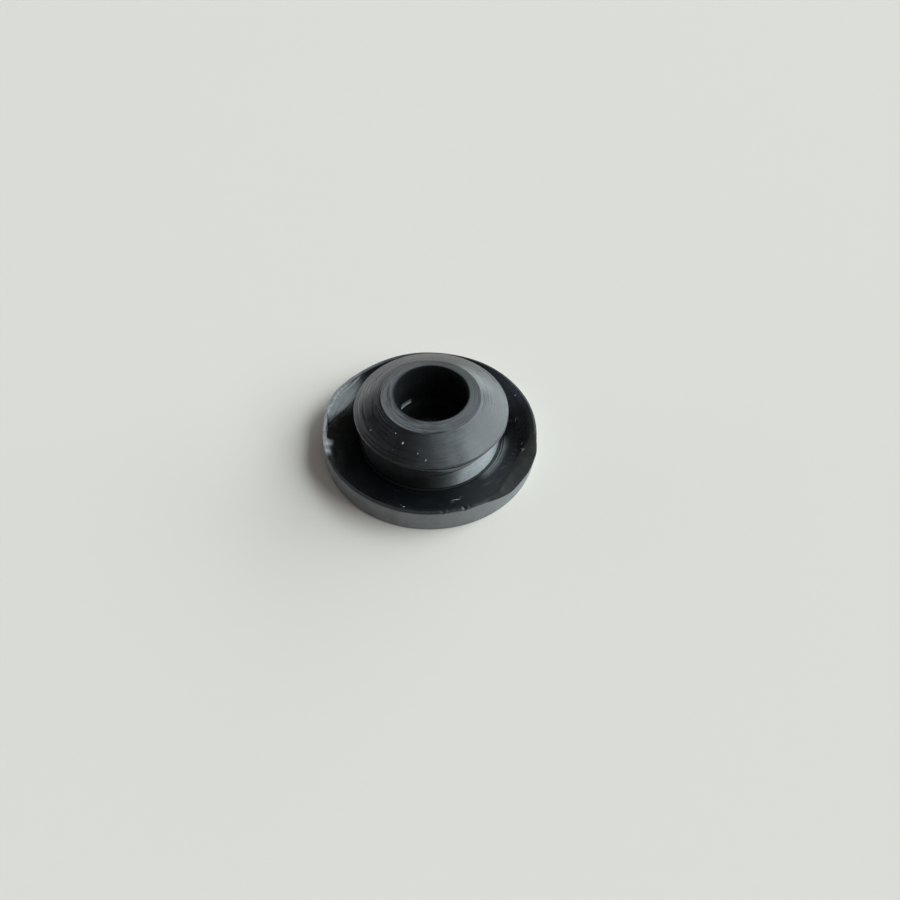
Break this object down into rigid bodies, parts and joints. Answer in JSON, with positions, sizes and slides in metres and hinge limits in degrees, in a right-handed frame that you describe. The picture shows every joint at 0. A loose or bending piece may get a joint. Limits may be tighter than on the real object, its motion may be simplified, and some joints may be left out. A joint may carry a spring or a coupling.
{
  "type": "rubber grommet",
  "caption": "Push-in rubber grommet: dished round flange, neck that snaps into a panel hole, overhanging lip, conical nose and a stepped bore for a cable or pin.",
  "frame": {"origin": "centre of the flange's flat base, on the bore's axis", "axes": "+Z along the bore from the base to the nose; +X to the right in the picture and +Y away from the viewer"},
  "size_m": [0.025, 0.025, 0.0088],
  "materials": {
    "black_rubber": "moulded black rubber, matte on the nose and glossy in the dish"
  },
  "bodies": {
    "root": {"grommet": "black_rubber"}
  },
  "joints": []
}
